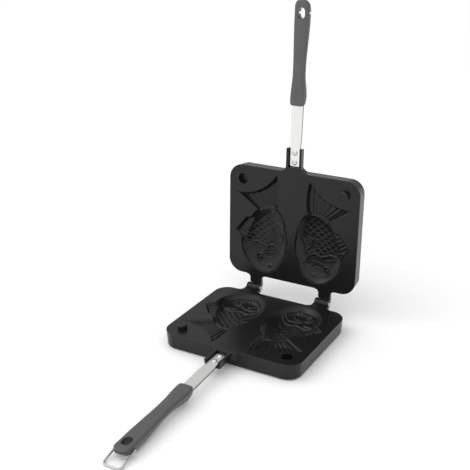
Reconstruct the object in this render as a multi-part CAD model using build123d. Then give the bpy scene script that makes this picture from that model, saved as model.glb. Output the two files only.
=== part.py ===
from build123d import *
import os
from math import asin, cos, degrees, radians, sin, sqrt, tan

# A hob pan for fish-shaped cakes: two cast halves on a rear hinge, each with a riveted steel strap and a
# moulded grip, and a wire ring that locks the two grips together.
#
# Millimetres. +X is right, +Y runs to the hinge, +Z is up. The origin is the middle of the lower half's
# flat underside. Everything on the upper half is drawn shut, as the lower half's mirror image, and is then
# swung up about the hinge to the angle at which the pan stands open by itself.

# ---- pan halves ----
PAN_WIDTH = 155.0           # across, at the parting face
PAN_DEPTH = 128.5           # front to back, at the parting face
PAN_HEIGHT = 18.0           # one half, underside to parting face
PAN_CORNER = 16.5           # corner radius in plan
PAN_DRAFT = 5.0             # degrees that the sides lean in towards the underside
PAN_BASE_BREAK = 1.9        # broken edge of the underside
PAN_EDGE_BREAK = 0.5        # broken edge of the parting face
FLARE_LAND = 0.2            # flat left beside the concave radii of boss, arms and lugs
PARTING_GAP = 0.1           # what the coat leaves between the two faces when shut

# ---- hinge ----
OPEN_ANGLE = 91.0           # from shut to the stop
HINGE_REACH = 14.8          # rear edge to pin axis
HINGE_DROP = 1.4            # pin axis below the parting face
HINGE_SPACING = 85.0        # between the middles of the two hinges
KNUCKLE_RADIUS = 5.0
KNUCKLE_WIDTHS = (5.0, 4.4, 2.6, 3.0)   # lower, upper, lower, upper, from the left
KNUCKLE_PLAY = 0.3          # side play between neighbouring knuckles
KNUCKLE_RELIEF = 0.6        # room round a knuckle in the other half's slot
ARM_THICKNESS = 5.0         # upper arm, from the parting face up
ARM_WIDTH = 14.0            # upper arm
LUG_DEPTH = 9.0             # lower lug, from the parting face down
LUG_FLARE = 4.5             # radius where arm and lug run into the pan's edge
LUG_TAPER_END = 3.0         # before the pin axis, where the lug's underside levels off
SHOULDER = 2.5              # lug that shows beside the last knuckle
STOP_CLEARANCE = 0.1        # between the raised arm and the stop lip
STOP_THICKNESS = 2.6        # stop lip, front to back
STOP_RISE = 2.6             # stop lip above the pin axis
STOP_UNDERCUT = 1.2         # slot in front of the lip, below the pin axis
PIN_DIAMETER = 3.2
PIN_RUNNING_FIT = 0.05      # radial, in the upper knuckles
PIN_HEAD_DIAMETER = 6.4
PIN_HEAD_HEIGHT = 1.6
PIN_HEAD_BREAK = 0.7
PIN_TAIL_DIAMETER = 4.2     # peened end
PIN_TAIL_HEIGHT = 0.8
PIN_END_PLAY = 0.15         # under the head and the peened end

# ---- locating peg and socket ----
PEG_X = 60.3                # from the middle line
PEG_FROM_FRONT = 15.9       # from the front edge
PEG_DIAMETER = 10.0
PEG_HEIGHT = 5.0
PEG_CHAMFER = 1.0
SOCKET_CLEARANCE = 1.0      # radial
SOCKET_FLOOR_CLEARANCE = 1.0

# ---- fish cavities (the right-hand one, seen from above; the left one is its mirror image) ----
FISH_X = 33.0               # middle of the body from the middle line
FISH_Y = 20.75              # middle of the body behind the pan's middle
BOWL_STEPS = ((0.0, 1.0), (1.6, 0.975), (5.0, 0.86), (8.4, 0.70), (9.8, 0.46))   # depth, share of outline
# all that follows is measured from the middle of the body: outwards, and towards the head
BODY_OUTLINE = ((-3, 38.2), (14, 33), (25, 21), (29, 6), (25.5, -10), (17, -26), (6, -39), (-7, -44),
                (-19, -37), (-28, -14), (-29, 4), (-24.2, 20), (-13, 34.5))
TAIL_ROOT = ((-15.7, -42), (8.5, -33))      # inner and outer end
TAIL_TIPS = ((-13.4, -79), (37.6, -53.7))
TAIL_SIDES = ((-16.6, -61), (22, -43))      # points that the lobes' side edges pass through
TAIL_FORK = (11, -57.5)                     # point that the trailing edge passes through
BACK_FIN = ((20, 8), (27.3, 3), (37, -7), (23.3, -25), (14, -27))
FIN_DEPTH = 5.6             # tail and back fin below the parting face
FIN_DRAFT = 24.0            # degrees, walls of the fin pockets
RAY_WIDTH = 2.0             # raised fin rays, at the pocket's floor
RAY_RISE = 0.95             # their ridges above the pocket's floor
TAIL_RAYS = 6
TAIL_RAY_REACH = 0.88       # share of the way from root to trailing edge
BACK_FIN_RAYS = 4
BACK_FIN_RAY_FIRST = ((21.6, 0.75), (33.9, -7.4))
BACK_FIN_RAY_LAST = ((19.4, -18.75), (27.1, -21.6))
EYE_PLACE = (8.0, 22.5)
EYE_DEPTH = 8.6             # bowl at the eye, below the parting face
EYE_RING = 4.8              # radius of the raised ring round the eye
EYE_RING_WIDTH = 1.6
EYE_RING_RISE = 0.8         # above the bowl
EYE_BEAD = 2.4              # radius of the pupil's bead, at the bowl
EYE_BEAD_TOP = 1.5          # radius of its flat top
EYE_BEAD_RISE = 1.3         # above the bowl
GILL_MIDDLE = (-1, 26)
GILL_RADIUS = 24.0          # raised edge of the gill cover
GILL_WIDTH = 1.9
GILL_RISE = 0.55            # above the bowl's floor
GILL_SPAN = 82.0            # degrees of arc

# ---- handle straps and their bosses ----
BOSS_REACH = 26.0           # beyond the front edge
BOSS_WIDTH = 18.0
BOSS_FLARE = 6.5            # radius where the boss runs into the pan's edge
BOSS_DEPTH_INNER = 10.5     # below the parting face, at the pan
BOSS_DEPTH_OUTER = 7.6      # below the parting face, under the strap
BOSS_WALL_DROP = 0.4        # tops of the channel's walls below the parting face
STRAP_DROP = 3.0            # strap's top below the parting face
STRAP_THICKNESS = 2.2
STRAP_SEAT_WIDTH = 11.0     # in the boss
STRAP_WIDTH = 12.8          # at the grip
STRAP_WIDEN_START = 4.0     # beyond the bend
STRAP_WIDEN_LENGTH = 9.0
STRAP_CORNER = 1.5          # corners of its inner end
STRAP_SIDE_CLEARANCE = 0.9  # each side, in the boss's channel
STRAP_END_CLEARANCE = 0.6   # at the channel's inner end
CHANNEL_END = 5.4           # inner end of the channel, beyond the front edge
STRAP_BEND = 22.0           # bend beyond the front edge
STRAP_SLOPE = 2.6           # degrees that the handle leans away from the parting face
RIVETS = (10.4, 21.0)       # beyond the front edge
RIVET_DIAMETER = 3.2
RIVET_HEAD_DIAMETER = 5.8
RIVET_HEAD_HEIGHT = 1.6
RIVET_HEAD_BREAK = 0.8
RIVET_TAIL_HEIGHT = 1.2

# ---- grips, along the strap from its bend ----
GRIP_START = 49.5
GRIP_LENGTH = 106.0
GRIP_TOP = 3.3              # top face's edge above the strap
GRIP_CROWN = 0.8
COVER_SEAT = 1.7            # underside of the cover above the strap
GROOVE_HEIGHT = 0.8         # shadow groove between cover and body
GROOVE_DEPTH = 0.6
# share of the length, half width in plan, depth of the underside below the top face
GRIP_STATIONS = ((0.0, 7.5, 6.4), (0.04, 7.8, 8.4), (0.10, 7.8, 9.7), (0.18, 7.2, 9.2), (0.28, 6.4, 7.7),
                 (0.42, 6.4, 7.2), (0.56, 6.9, 7.8), (0.68, 7.3, 8.6), (0.79, 7.6, 9.1), (0.90, 7.6, 9.0),
                 (1.0, 7.6, 8.6))
GRIP_EDGE_BREAK = 1.9       # along the underside
GRIP_NOSE_ROUND = 2.2       # corners of the front end in plan
GRIP_TAIL_ROUND = 5.0       # corners of the tail in plan
GRIP_TAIL_BOW = 1.2         # how far the tip bows out
TAIL_RAMP = 9.0             # lead-in slope on the underside, up to the tip
TAIL_TIP_DEPTH = 4.5        # underside below the top face at the tip
TANG_WIDTH = 8.0
TANG_LENGTH = 50.0          # strap inside the grip
TANG_ENTRY = 2.0            # full width of the strap inside the grip
TANG_SHOULDER = 1.5         # length of the step down to the tang
TANG_FIT = 0.1
TANG_PEGS = (18.0, 41.0)    # cover's pegs through the tang, from the grip's front
TANG_PEG_DIAMETER = 3.6
TANG_PEG_FIT = 0.1          # radial
TANG_PEG_SINK = 2.0         # pegs into the body below the strap
RIB_SETBACK = 0.5           # cover's rib behind the grip's front
HANG_HOLE_WIDTH = 8.4
HANG_HOLE_LENGTH = 11.6
HANG_HOLE_FROM_TIP = 12.2   # its middle

# ---- locking ring ----
WIRE = 2.0
RING_FROM_TIP = 12.0        # pivot, measured along the grip
RING_DEPTH = 5.0            # pivot below the grip's top face
RING_SIDE_GAP = 0.5         # leg to the side of the grip's tail
RING_CORNER = 4.0           # bend radius of the wire at the crossbar
RING_EYE_BEND = 1.6         # bend radius of the wire at the pivots
SEAT_FIT = 0.05             # radial, wire in the notch
SEAT_NECK = 0.85            # half width of the notch's neck, a little less than the wire's
SEAT_NECK_OUT = 0.9         # neck beyond the crossbar when it locks the grips
SEAT_SHOULDER = 0.4         # length over which the seat narrows to the neck
SEAT_MOUTH = 1.6            # half width of the notch's mouth
SEAT_FLARE = 1.8            # length over which the neck widens to the mouth
PIVOT_WALL = 0.5            # wire ends stop short of the hang hole by this

# ---- places worked out from the sizes ----
FRONT = -PAN_DEPTH / 2
REAR = PAN_DEPTH / 2
AXIS_Y = REAR + HINGE_REACH
AXIS_Z = PAN_HEIGHT - HINGE_DROP
STRAP_Z = PAN_HEIGHT - STRAP_DROP
BOSS_UNDERSIDE = PAN_HEIGHT - BOSS_DEPTH_OUTER
MIRROR_Z = PAN_HEIGHT + PARTING_GAP / 2
RING_LEG_X = max(half for _, half, _ in GRIP_STATIONS[-2:]) + RING_SIDE_GAP + WIRE / 2
SMALL_CUT = 50.0            # longer than anything that is cut in a handle
CUT = 400.0                 # longer than the whole pan


def box_between(x, y, z):
    """Box from three pairs of limits."""
    (x0, x1), (y0, y1), (z0, z1) = x, y, z
    return Pos((x0 + x1) / 2, (y0 + y1) / 2, (z0 + z1) / 2) * Box(x1 - x0, y1 - y0, z1 - z0)


def rod_x(radius, x0, x1, y, z):
    """Cylinder along X."""
    return Pos((x0 + x1) / 2, y, z) * Rot(0, 90, 0) * Cylinder(radius, x1 - x0)


def side_prism(points, half_width):
    """Side profile (y, z), drawn out both ways along X."""
    wire = Polyline(*[(0, y, z) for y, z in points], close=True)
    return extrude(make_face(wire), amount=half_width, dir=(1, 0, 0), both=True)


def shut_mirror(shape):
    """Mirror image in the plane midway between the two parting faces when shut."""
    return mirror(shape, about=Plane.XY.offset(MIRROR_Z))


def swing_up(shape):
    """Lower-half drawing to its place on the raised upper half."""
    return Pos(0, AXIS_Y, AXIS_Z) * Rot(-OPEN_ANGLE, 0, 0) * Pos(0, -AXIS_Y, -AXIS_Z) * shut_mirror(shape)


# ---- fish ----

def fish_point(u, v):
    """Point of the right-hand fish, from the middle of its body."""
    return (FISH_X + u, FISH_Y + v)


def fish_face(edges):
    """Face from a chain of edges drawn about the body's middle."""
    return Pos(*fish_point(0, 0), PAN_HEIGHT) * make_face(edges)


def body_face(share):
    """Body outline without fins, drawn in towards its middle."""
    return fish_face([Spline(*[(u * share, v * share) for u, v in BODY_OUTLINE], periodic=True)])


def tail_face():
    """Forked tail: two lobes with a hollow trailing edge."""
    return fish_face([
        Line(*TAIL_ROOT),
        ThreePointArc(TAIL_ROOT[1], TAIL_SIDES[1], TAIL_TIPS[1]),
        trailing_edge(),
        ThreePointArc(TAIL_TIPS[0], TAIL_SIDES[0], TAIL_ROOT[0]),
    ])


def trailing_edge():
    return ThreePointArc(TAIL_TIPS[0], TAIL_FORK, TAIL_TIPS[1])


def back_fin_face():
    """Pointed fin on the fish's back."""
    return fish_face(Polyline(*BACK_FIN, close=True).edges())


def between(first, last, share):
    """Point at a share of the way from the first to the last."""
    return (first[0] + (last[0] - first[0]) * share, first[1] + (last[1] - first[1]) * share)


def ray(start, end):
    """Raised ridge of a fin ray on the pocket's floor. Its foot reaches as far below the floor."""
    (x0, y0), (x1, y1) = fish_point(*start), fish_point(*end)
    z = PAN_HEIGHT - FIN_DEPTH
    line = Line((x0, y0, z), (x1, y1, z))
    section = make_face(Polyline((RAY_RISE, 0), (-RAY_RISE, RAY_WIDTH), (-RAY_RISE, -RAY_WIDTH), close=True))
    place = Plane(origin=line @ 0, x_dir=(0, 0, 1), z_dir=line % 0)
    return extrude(place * section, amount=line.length, dir=line % 0)


def fin_rays():
    """Rays that fan out in the tail and in the back fin."""
    rays = []
    edge = trailing_edge()
    for i in range(TAIL_RAYS):
        share = (i + 0.5) / TAIL_RAYS
        start = between(*TAIL_ROOT, share)
        tip = edge @ share
        rays.append(ray(start, between(start, (tip.X, tip.Y), TAIL_RAY_REACH)))
    for i in range(BACK_FIN_RAYS):
        share = i / (BACK_FIN_RAYS - 1)
        start = between(BACK_FIN_RAY_FIRST[0], BACK_FIN_RAY_LAST[0], share)
        rays.append(ray(start, between(BACK_FIN_RAY_FIRST[1], BACK_FIN_RAY_LAST[1], share)))
    return rays


def head_relief():
    """Eye and gill cover, raised on the bowl's floor."""
    floor = PAN_HEIGHT - BOWL_STEPS[-1][0]
    bowl_z = PAN_HEIGHT - EYE_DEPTH
    eye = Pos(*fish_point(*EYE_PLACE), 0)
    ring_height = EYE_RING_RISE + BOWL_STEPS[-1][0] - EYE_DEPTH + EYE_RING_RISE
    ring = Cylinder(EYE_RING + EYE_RING_WIDTH / 2, ring_height) - Cylinder(
        EYE_RING - EYE_RING_WIDTH / 2, ring_height)
    ring = eye * Pos(0, 0, bowl_z + EYE_RING_RISE - ring_height / 2) * ring
    slope = (EYE_BEAD - EYE_BEAD_TOP) / EYE_BEAD_RISE
    bead_height = bowl_z + EYE_BEAD_RISE - floor + EYE_BEAD_RISE
    bead = eye * Pos(0, 0, bowl_z + EYE_BEAD_RISE - bead_height / 2) * Cone(
        EYE_BEAD_TOP + slope * bead_height, EYE_BEAD_TOP, bead_height)
    gill = Cylinder(GILL_RADIUS + GILL_WIDTH / 2, 2 * GILL_RISE, arc_size=GILL_SPAN) - Cylinder(
        GILL_RADIUS - GILL_WIDTH / 2, 2 * GILL_RISE)
    gill = Pos(*fish_point(*GILL_MIDDLE), floor) * Rot(0, 0, 270 - GILL_SPAN / 2) * gill
    return [ring, bead, gill]


def fish_tool():
    """What is hollowed out of a pan half for the right-hand fish."""
    sections = [Pos(0, 0, -depth) * body_face(share) for depth, share in BOWL_STEPS]
    bowl = loft(sections)
    fins = [extrude(face, amount=-FIN_DEPTH, taper=FIN_DRAFT) for face in (tail_face(), back_fin_face())]
    tool = bowl
    for fin in fins:
        tool += fin
    for raised in fin_rays() + head_relief():
        tool -= raised
    return tool


# ---- pan halves ----

def pan_block():
    """Cast block of one half, without hinge, boss or hollows."""
    face = Pos(0, 0, PAN_HEIGHT) * RectangleRounded(PAN_WIDTH, PAN_DEPTH, PAN_CORNER)
    block = extrude(face, amount=-PAN_HEIGHT, taper=PAN_DRAFT)
    block = chamfer(block.faces().sort_by(Axis.Z)[0].edges(), PAN_BASE_BREAK)
    return chamfer(block.faces().sort_by(Axis.Z)[-1].edges(), PAN_EDGE_BREAK)


def flared_tab(x0, x1, y_edge, y_end, radius):
    """Tab in plan that runs out of the pan's straight edge with a concave radius on each side."""
    inward = -1 if y_end > y_edge else 1
    root = y_edge + inward * 2 * radius
    tab = Pos((x0 + x1) / 2, (root + y_end) / 2) * Rectangle(x1 - x0, abs(y_end - root))
    bar = Pos((x0 + x1) / 2, (root + y_edge) / 2) * Rectangle(
        x1 - x0 + 2 * (radius + FLARE_LAND), abs(y_edge - root))
    plan = tab + bar
    on_edge = [v for v in plan.vertices() if abs(v.Y - y_edge) < 1e-6]
    return fillet([v for v in on_edge if x0 - radius / 2 < v.X < x1 + radius / 2], radius)


def tab_prism(plan, z0, z1):
    """Tab drawn from the parting face's height to another, with the casting's draft."""
    return extrude(Pos(0, 0, z0) * plan, amount=z1 - z0, taper=PAN_DRAFT)


def boss():
    """Handle boss with its channel, without the rivet holes."""
    end = FRONT - BOSS_REACH
    plan = flared_tab(-BOSS_WIDTH / 2, BOSS_WIDTH / 2, FRONT, end, BOSS_FLARE)
    root = FRONT + 2 * BOSS_FLARE
    top = PAN_HEIGHT - BOSS_WALL_DROP
    inner = FRONT - CHANNEL_END
    profile = side_prism([(root, PAN_HEIGHT), (FRONT, PAN_HEIGHT), (inner, top), (end, top),
                          (end, BOSS_UNDERSIDE), (inner, BOSS_UNDERSIDE),
                          (FRONT, PAN_HEIGHT - BOSS_DEPTH_INNER), (root, PAN_HEIGHT - BOSS_DEPTH_INNER)], CUT)
    block = tab_prism(plan, PAN_HEIGHT, 0) & profile
    channel_half = STRAP_SEAT_WIDTH / 2 + STRAP_SIDE_CLEARANCE
    before = end - STRAP_END_CLEARANCE
    bend_y = FRONT - STRAP_BEND
    channel = box_between((-channel_half, channel_half), (before, inner), (STRAP_Z - STRAP_THICKNESS, CUT))
    slope = side_prism([(bend_y, STRAP_Z), (bend_y, strap_underside(bend_y)), (before, strap_underside(before)),
                        (before, STRAP_Z)], channel_half)
    return block - channel - slope


def strap_underside(y):
    """Height of the strap's underside beyond its bend."""
    tilt = radians(STRAP_SLOPE)
    return STRAP_Z - (FRONT - STRAP_BEND - y) * tan(tilt) - STRAP_THICKNESS / cos(tilt)


def knuckle_spans(middle):
    """Left and right ends of the four knuckles of a hinge."""
    total = sum(KNUCKLE_WIDTHS) + KNUCKLE_PLAY * (len(KNUCKLE_WIDTHS) - 1)
    right = middle + ARM_WIDTH / 2
    left = right - total
    spans = []
    for width in KNUCKLE_WIDTHS:
        spans.append((left, left + width))
        left += width + KNUCKLE_PLAY
    return spans


def hinge_middles():
    return (-HINGE_SPACING / 2, HINGE_SPACING / 2)


def knuckle_slot(span, y_end):
    """Room for the other half's knuckle."""
    reach = KNUCKLE_RADIUS + KNUCKLE_RELIEF
    return box_between((span[0] - KNUCKLE_PLAY, span[1] + KNUCKLE_PLAY), (AXIS_Y - reach, y_end),
                       (-CUT, CUT))


def lower_lug(middle):
    """Lower half's lug: two knuckles, and the lip that stops the raised arm."""
    spans = knuckle_spans(middle)
    x0, x1 = spans[0][0], spans[3][1] + SHOULDER
    top, bottom = PAN_HEIGHT, PAN_HEIGHT - LUG_DEPTH
    lip_front = AXIS_Y + ARM_THICKNESS + HINGE_DROP + PARTING_GAP + STOP_CLEARANCE
    lip_rear = lip_front + STOP_THICKNESS
    plan = flared_tab(x0, x1, REAR, lip_rear, LUG_FLARE)
    block = tab_prism(plan, PAN_HEIGHT, 0)
    low = AXIS_Z - KNUCKLE_RADIUS
    profile = side_prism([(REAR - 2 * LUG_FLARE, top), (AXIS_Y, top), (AXIS_Y, AXIS_Z),
                          (lip_front, AXIS_Z - STOP_UNDERCUT),
                          (lip_front, AXIS_Z), (lip_rear, AXIS_Z), (lip_rear, low),
                          (AXIS_Y - LUG_TAPER_END, low),
                          (REAR, bottom), (REAR - 2 * LUG_FLARE, bottom)], CUT)
    lug = block & profile
    lug += rod_x(KNUCKLE_RADIUS, spans[0][0], spans[2][1], AXIS_Y, AXIS_Z)
    lug += box_between((spans[0][0], spans[2][1]), (lip_front, lip_rear), (low, AXIS_Z + STOP_RISE))
    lug -= knuckle_slot(spans[1], lip_front)
    lug -= knuckle_slot(spans[3], CUT)
    lug -= box_between((spans[3][1], CUT), (AXIS_Y - KNUCKLE_RADIUS - KNUCKLE_RELIEF, CUT), (-CUT, CUT))
    return lug - rod_x(PIN_DIAMETER / 2, x0 - KNUCKLE_PLAY, x1 + KNUCKLE_PLAY, AXIS_Y, AXIS_Z)


def upper_arm(middle):
    """Upper half's arm, drawn shut and as it lies above the parting face."""
    spans = knuckle_spans(middle)
    x0, x1 = middle - ARM_WIDTH / 2, middle + ARM_WIDTH / 2
    z0 = PAN_HEIGHT + PARTING_GAP
    plan = flared_tab(x0, x1, REAR, AXIS_Y, LUG_FLARE)
    arm = tab_prism(plan, z0, z0 + ARM_THICKNESS)
    arm += rod_x(KNUCKLE_RADIUS, x0, x1, AXIS_Y, AXIS_Z)
    for span in (spans[0], spans[2]):
        arm -= knuckle_slot(span, CUT)
    arm -= box_between((-CUT, spans[1][0]), (AXIS_Y - KNUCKLE_RADIUS - KNUCKLE_RELIEF, CUT), (0, CUT))
    return arm - rod_x(PIN_DIAMETER / 2 + PIN_RUNNING_FIT, x0 - KNUCKLE_PLAY, x1 + KNUCKLE_PLAY, AXIS_Y, AXIS_Z)


def hinge_pin(middle):
    """Headed pin, put in from the right and peened on the left."""
    spans = knuckle_spans(middle)
    left = spans[0][0] - PIN_END_PLAY
    right = spans[3][1] + PIN_END_PLAY
    pin = rod_x(PIN_DIAMETER / 2, left - PIN_TAIL_HEIGHT, right + PIN_HEAD_HEIGHT / 2, AXIS_Y, AXIS_Z)
    pin += rod_x(PIN_TAIL_DIAMETER / 2, left - PIN_TAIL_HEIGHT, left, AXIS_Y, AXIS_Z)
    head = rod_x(PIN_HEAD_DIAMETER / 2, right, right + PIN_HEAD_HEIGHT, AXIS_Y, AXIS_Z)
    rim = head.faces().sort_by(Axis.X)[-1].edges()
    return pin + chamfer(rim, PIN_HEAD_BREAK)


def pan_half(peg_side, hinge_tabs):
    """One cast half, drawn as the lower one, with its peg on the given side and its socket on the other."""
    pan = pan_block() + boss()
    for tab in hinge_tabs:
        pan += tab
    for seat in RIVETS:
        pan -= Pos(0, FRONT - seat, PAN_HEIGHT / 2) * Cylinder(RIVET_DIAMETER / 2, PAN_HEIGHT)
    tool = fish_tool()
    pan = pan - tool - mirror(tool, about=Plane.YZ)
    peg_y = FRONT + PEG_FROM_FRONT
    peg = Pos(peg_side * PEG_X, peg_y, PAN_HEIGHT + PEG_HEIGHT / 2) * Cylinder(PEG_DIAMETER / 2, PEG_HEIGHT)
    peg = chamfer(peg.faces().sort_by(Axis.Z)[-1].edges(), PEG_CHAMFER)
    depth = PEG_HEIGHT + SOCKET_FLOOR_CLEARANCE
    socket = Pos(-peg_side * PEG_X, peg_y, PAN_HEIGHT - depth / 2) * Cylinder(
        PEG_DIAMETER / 2 + SOCKET_CLEARANCE, depth)
    return pan + peg - socket


def lower_pan():
    return pan_half(-1, [lower_lug(middle) for middle in hinge_middles()])


def upper_pan():
    return swing_up(pan_half(1, [shut_mirror(upper_arm(middle)) for middle in hinge_middles()]))


# ---- handles: x across, y back towards the pan, z out of the strap's top face at its bend ----

def handle_place():
    """From the handle's own frame to the lower half's."""
    return Pos(0, FRONT - STRAP_BEND, STRAP_Z) * Rot(STRAP_SLOPE, 0, 0)


def strap():
    """Flat steel strap: seat in the boss, bend, and a tang inside the grip."""
    seat_end = FRONT - CHANNEL_END - STRAP_END_CLEARANCE
    before_bend = FRONT - STRAP_BEND - STRAP_WIDEN_START
    seat = box_between((-STRAP_SEAT_WIDTH / 2, STRAP_SEAT_WIDTH / 2), (before_bend, seat_end),
                       (STRAP_Z - STRAP_THICKNESS, STRAP_Z))
    seat = fillet(seat.edges().filter_by(Axis.Z).group_by(Axis.Y)[-1], STRAP_CORNER)
    narrow, wide, tang = STRAP_SEAT_WIDTH / 2, STRAP_WIDTH / 2, TANG_WIDTH / 2
    widened = STRAP_WIDEN_START + STRAP_WIDEN_LENGTH
    step = GRIP_START + TANG_ENTRY
    half = [(narrow, STRAP_WIDEN_START), (narrow, -STRAP_WIDEN_START), (wide, -widened), (wide, -step),
            (tang, -step - TANG_SHOULDER), (tang, -GRIP_START - TANG_LENGTH)]
    outline = half + [(-x, y) for x, y in reversed(half)]
    run = extrude(make_face(Polyline(*outline, close=True)), amount=-STRAP_THICKNESS)
    for peg in TANG_PEGS:
        run -= Pos(0, -GRIP_START - peg, 0) * Cylinder(TANG_PEG_DIAMETER / 2 + TANG_PEG_FIT, SMALL_CUT)
    run = handle_place() * run
    bend_y = FRONT - STRAP_BEND
    keep = box_between((-CUT, CUT), (bend_y - CUT, bend_y), (-CUT, CUT))
    seat -= keep
    piece = seat + (run & keep)
    for at in RIVETS:
        piece -= Pos(0, FRONT - at, STRAP_Z) * Cylinder(RIVET_DIAMETER / 2, SMALL_CUT)
    return piece


def rivet(at):
    """Round-headed rivet through strap and boss."""
    y = FRONT - at
    radius = RIVET_HEAD_DIAMETER / 2
    shank = Pos(0, y, (STRAP_Z + BOSS_UNDERSIDE) / 2) * Cylinder(RIVET_DIAMETER / 2, STRAP_Z - BOSS_UNDERSIDE)
    head = Pos(0, y, STRAP_Z + RIVET_HEAD_HEIGHT / 2) * Cylinder(radius, RIVET_HEAD_HEIGHT)
    head = chamfer(head.faces().sort_by(Axis.Z)[-1].edges(), RIVET_HEAD_BREAK)
    foot = Pos(0, y, BOSS_UNDERSIDE - RIVET_TAIL_HEIGHT / 2) * Cylinder(radius, RIVET_TAIL_HEIGHT)
    return shank + head + foot


def stations():
    """Grip stations: distance along the grip, half width, depth."""
    return [(share * GRIP_LENGTH, half, depth) for share, half, depth in GRIP_STATIONS]


def grip_plan(inset):
    """Grip seen from above, drawn in by an inset."""
    right = Spline(*[(half - inset, -GRIP_START - s) for s, half, _ in stations()])
    left = Spline(*[(inset - half, -GRIP_START - s) for s, half, _ in stations()])
    front = Line(left @ 0, right @ 0)
    tip = ThreePointArc(right @ 1, (0, -GRIP_START - GRIP_LENGTH - GRIP_TAIL_BOW), left @ 1)
    face = make_face([right, tip, left, front])
    face = fillet(face.vertices().group_by(Axis.Y)[-1], GRIP_NOSE_ROUND)
    return fillet(face.vertices().group_by(Axis.Y)[0], GRIP_TAIL_ROUND)


def grip_section(s, half_width, depth):
    """Cross-section of the grip's body: flat on top, with broken edges below."""
    top = COVER_SEAT - GROOVE_HEIGHT
    bottom = GRIP_TOP - depth
    c = GRIP_EDGE_BREAK
    half = [(half_width, top), (half_width, bottom + c), (half_width - c, bottom)]
    outline = half + [(-x, z) for x, z in reversed(half)]
    plane = Plane(origin=(0, -GRIP_START - s, 0), x_dir=(1, 0, 0), z_dir=(0, -1, 0))
    return make_face(Polyline(*[plane.from_local_coords((x, z, 0)) for x, z in outline], close=True))


def hang_hole():
    """Slot through the grip's tail."""
    y = -GRIP_START - GRIP_LENGTH + HANG_HOLE_FROM_TIP
    slot = Pos(0, y) * Rot(0, 0, 90) * SlotOverall(HANG_HOLE_LENGTH, HANG_HOLE_WIDTH)
    return extrude(slot, amount=SMALL_CUT, both=True)


def seat_place():
    """Middle of the ring's seat in the handle's frame."""
    return (-GRIP_START - GRIP_LENGTH + RING_FROM_TIP, GRIP_TOP - RING_DEPTH)


def ring_slack():
    """How far the crossbar lies beyond the seat's middle when its bent corners clear the grip."""
    half = RING_LEG_X - RING_SIDE_GAP - WIRE / 2
    into_bend = half - (RING_LEG_X - RING_CORNER)
    inner_bend = RING_CORNER - WIRE / 2
    return inner_bend - sqrt(inner_bend ** 2 - into_bend ** 2)


def ring_notch():
    """Notch across the grip's outer face: round seat, neck that the wire snaps past, flared mouth."""
    y, z = seat_place()
    r = WIRE / 2 + SEAT_FIT
    neck = z - ring_slack() - SEAT_NECK_OUT
    half = [(r, z), (r, neck + SEAT_SHOULDER), (SEAT_NECK, neck), (SEAT_MOUTH, neck - SEAT_FLARE),
            (SEAT_MOUTH, neck - SMALL_CUT)]
    profile = [(y + dy, dz) for dy, dz in half] + [(y - dy, dz) for dy, dz in reversed(half)]
    return side_prism(profile, SMALL_CUT) + rod_x(r, -SMALL_CUT, SMALL_CUT, y, z)


def grip_body():
    """Lower moulding of the grip, drawn in the handle's frame."""
    body = loft([grip_section(*station) for station in stations()])
    body = body & extrude(Pos(0, 0, -SMALL_CUT) * grip_plan(0.0), amount=2 * SMALL_CUT)
    tip = -GRIP_START - GRIP_LENGTH
    beyond = tip - GRIP_TAIL_BOW
    ramp = side_prism([(tip + TAIL_RAMP, GRIP_TOP - GRIP_STATIONS[-2][2]), (beyond, GRIP_TOP - TAIL_TIP_DEPTH),
                       (beyond, -SMALL_CUT), (tip + TAIL_RAMP, -SMALL_CUT)], SMALL_CUT)
    body -= ramp
    body += extrude(Pos(0, 0, COVER_SEAT - GROOVE_HEIGHT) * grip_plan(GROOVE_DEPTH), amount=GROOVE_HEIGHT)
    pocket_half = TANG_WIDTH / 2 + TANG_FIT
    entry_half = STRAP_WIDTH / 2 + TANG_FIT
    pocket_end = -GRIP_START - TANG_LENGTH - TANG_FIT
    entry_end = -GRIP_START - TANG_ENTRY - TANG_SHOULDER - TANG_FIT
    before = -GRIP_START + TANG_ENTRY
    body -= box_between((-pocket_half, pocket_half), (pocket_end, before), (-STRAP_THICKNESS, COVER_SEAT))
    body -= box_between((-entry_half, entry_half), (entry_end, before), (-STRAP_THICKNESS, 0))
    for peg in TANG_PEGS:
        body -= Pos(0, -GRIP_START - peg, -STRAP_THICKNESS - TANG_PEG_SINK / 2) * Cylinder(
            TANG_PEG_DIAMETER / 2 + TANG_PEG_FIT, TANG_PEG_SINK)
    return body - hang_hole() - ring_notch()


def grip_cover():
    """Crowned cover with the rib that fills the tang's pocket and the pegs that pass through the tang."""
    plate = extrude(Pos(0, 0, COVER_SEAT) * grip_plan(0.0), amount=GRIP_TOP + GRIP_CROWN - COVER_SEAT)
    half = max(half for _, half, _ in GRIP_STATIONS)
    radius = (half ** 2 + GRIP_CROWN ** 2) / (2 * GRIP_CROWN)
    crown = Pos(0, -GRIP_START - GRIP_LENGTH / 2, GRIP_TOP + GRIP_CROWN - radius) * Rot(90, 0, 0) * Cylinder(
        radius, GRIP_LENGTH + SMALL_CUT)
    plate = plate & crown
    rib_half = TANG_WIDTH / 2 - TANG_FIT
    plate += box_between((-rib_half, rib_half), (-GRIP_START - TANG_LENGTH, -GRIP_START - RIB_SETBACK),
                         (0, (COVER_SEAT + GRIP_TOP) / 2))
    for peg in TANG_PEGS:
        length = STRAP_THICKNESS + TANG_PEG_SINK - TANG_PEG_FIT
        plate += Pos(0, -GRIP_START - peg, -length / 2) * Cylinder(TANG_PEG_DIAMETER / 2, length)
    return plate - hang_hole()


# ---- locking ring ----

def ring_pivot():
    """Pivot of the ring on the lower half: y and z in the pan's frame."""
    y, z = seat_place()
    tilt = radians(STRAP_SLOPE)
    return (FRONT - STRAP_BEND + y * cos(tilt) - z * sin(tilt), STRAP_Z + y * sin(tilt) + z * cos(tilt))


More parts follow.
